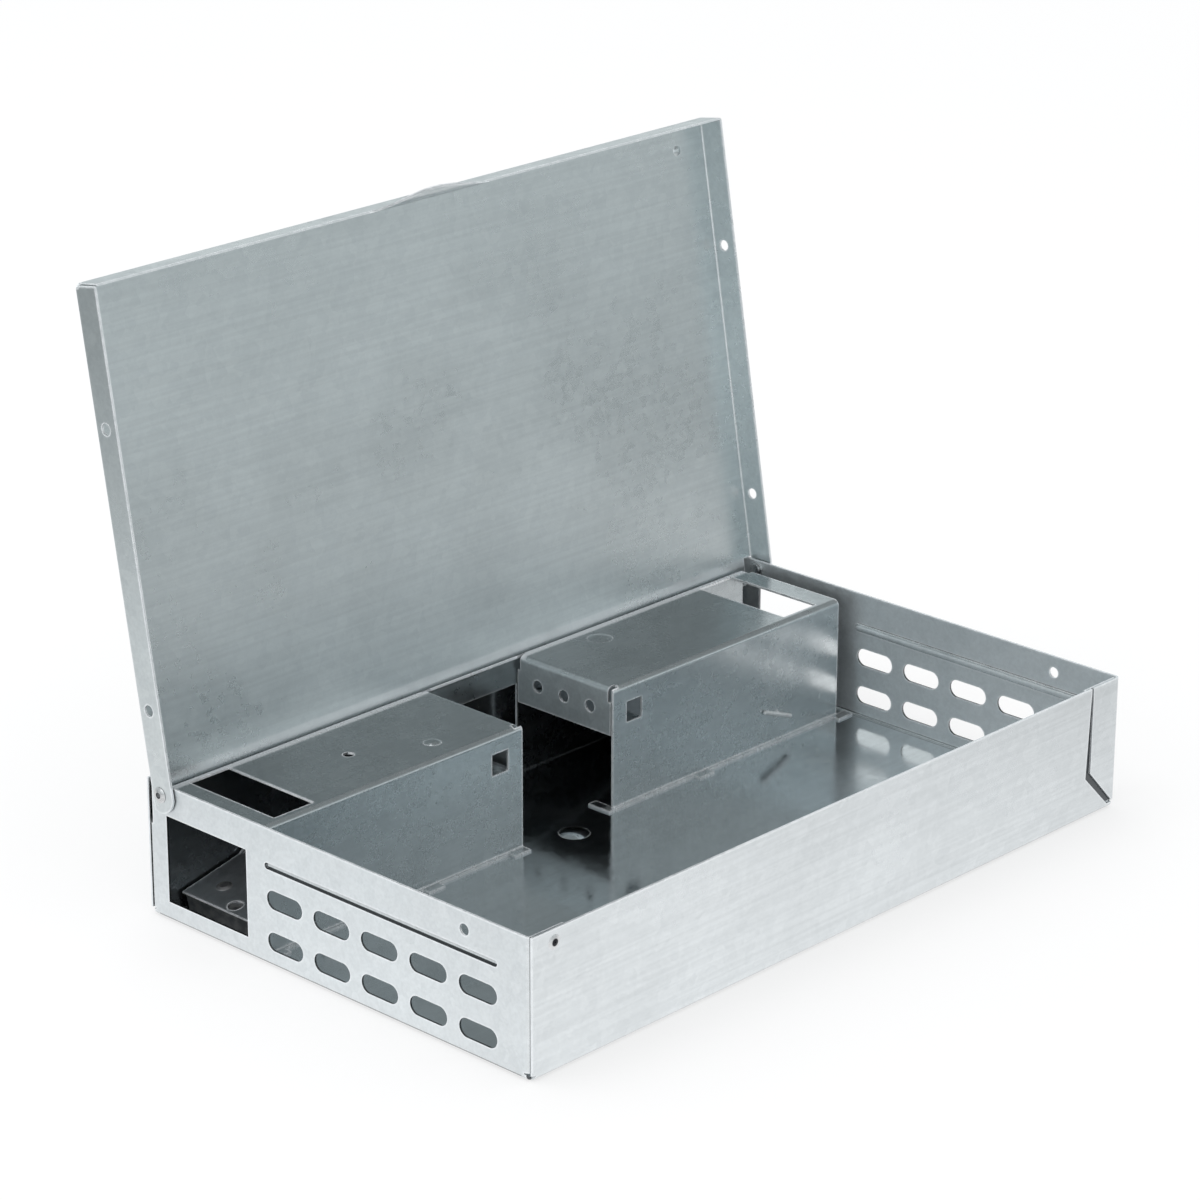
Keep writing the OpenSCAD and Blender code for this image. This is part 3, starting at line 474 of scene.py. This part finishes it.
def floor_glow(tree):
    """What the metal sees of the floor: bright close by, greyer and bluer far off."""
    place = add(tree, "ShaderNodeNewGeometry").outputs["Position"]
    length = add(tree, "ShaderNodeVectorMath", operation="LENGTH")
    link(tree, place, length.inputs[0])
    reach = length.outputs["Value"]
    direction = add(tree, "ShaderNodeVectorMath", operation="NORMALIZE")
    link(tree, place, direction.inputs[0])
    across = dot_product(tree, place, CAMERA_RIGHT)
    near = product(tree, ramp_between(tree, across, -0.05, 0.30, 1.0, 0.80),
                   ramp_between(tree, across, -0.25, -0.08, 0.93, 1.0))
    fall = ramp_between(tree, reach, 0.10, 0.90, 1.0, 0.40)
    lift = ramp_between(tree, reach, 0.35, 0.70, 0.0, 0.35)
    towards_camera = dot_product(tree, direction.outputs[0], CAMERA_SIDE)
    camera_side = ramp_between(tree, towards_camera, 0.6, 0.95, 1.0, maths(tree, "ADD", 1.0, lift))
    glow = add(tree, "ShaderNodeEmission")
    link(tree, product(tree, near, fall, camera_side), glow.inputs["Strength"])
    link(tree, blend_colours(tree, ramp_between(tree, fall, 0.5, 1.0), FAR_TINT, WHITE),
         glow.inputs["Color"])
    return glow.outputs[0]


def studio_floor(radius=4.0):
    """The camera sees it nearly white, with a faint shadow."""
    mesh = bpy.data.meshes.new("studio floor")
    corners = [(-radius, -radius, 0), (radius, -radius, 0), (radius, radius, 0), (-radius, radius, 0)]
    mesh.from_pydata(corners, [], [(0, 1, 2, 3)])
    floor = bpy.data.objects.new("studio_floor", mesh)
    scene.collection.objects.link(floor)
    floor.location.z = -FLOOR_GAP
    made, tree, surface = new_material("white studio floor")
    surface.inputs["Base Color"].default_value = (0.94, 0.94, 0.94, 1.0)
    surface.inputs["Roughness"].default_value = 0.9
    surface.inputs["Specular IOR Level"].default_value = 0.0
    rays = add(tree, "ShaderNodeLightPath").outputs
    white = add(tree, "ShaderNodeEmission", in_Strength=1.0)
    seen = mix_shaders(tree, product(tree, rays["Is Camera Ray"], FLOOR_WHITE),
                       surface.outputs[0], white.outputs[0])
    link(tree, mix_shaders(tree, rays["Is Glossy Ray"], seen, floor_glow(tree)),
         tree.nodes["Material Output"].inputs["Surface"])
    mesh.materials.append(made)


def studio_world():
    """White all round for the camera; metal sees a bright band above the horizon
    and a grey ceiling."""
    world = bpy.data.worlds.new("studio")
    scene.world = world
    world.use_nodes = True
    tree = world.node_tree
    light = tree.nodes["Background"]
    way = add(tree, "ShaderNodeTexCoord").outputs["Generated"]
    height = split_axes(tree, way)[Z]
    room = ramp_between(tree, height, 0.08, 0.48, 0.80, 0.25)
    camera_side = ramp_between(tree, dot_product(tree, way, CAMERA_SIDE), 0.3, 0.9, 1.0, 1.6)
    backdrop = ramp_between(tree, dot_product(tree, way, FAR_SIDE), 0.55, 0.85, 1.0,
                            ramp_between(tree, height, 0.38, 0.54, 2.2, 1.0))
    wall = maths(tree, "MINIMUM", product(tree, room, backdrop), 1.0)
    glossy = add(tree, "ShaderNodeLightPath").outputs["Is Glossy Ray"]
    seen = product(tree, wall, camera_side, glossy)
    link(tree, maths(tree, "ADD", seen, rest_of(tree, glossy)), light.inputs["Strength"])
    link(tree, blend_colours(tree, glossy, WORLD_TINT, FAR_TINT), light.inputs["Color"])


def softbox(name, place, target, side, power):
    lamp = bpy.data.lights.new(name, "AREA")
    lamp.shape = "RECTANGLE"
    lamp.size = lamp.size_y = side
    lamp.energy = power
    made = bpy.data.objects.new(name, lamp)
    made.location = place
    made.rotation_euler = (Vector(target) - Vector(place)).to_track_quat("-Z", "Y").to_euler()
    scene.collection.objects.link(made)


def studio_camera():
    lens = bpy.data.cameras.new("camera")
    lens.sensor_width = 36.0
    lens.lens = FOCAL_LENGTH
    camera = bpy.data.objects.new("camera", lens)
    camera.location = CAMERA_PLACE
    camera.rotation_euler = Euler([math.radians(turn) for turn in CAMERA_TURN])
    scene.collection.objects.link(camera)
    scene.camera = camera


scene.view_settings.view_transform = "Standard"
studio_floor()
studio_world()
softbox("overhead softbox", (-0.5, 0.3, 1.6), (0.0, 0.0, 0.05), 1.0, 4.0)
softbox("left softbox", (-1.6, 0.4, 0.8), (0.0, 0.0, 0.05), 0.9, 3.0)
studio_camera()
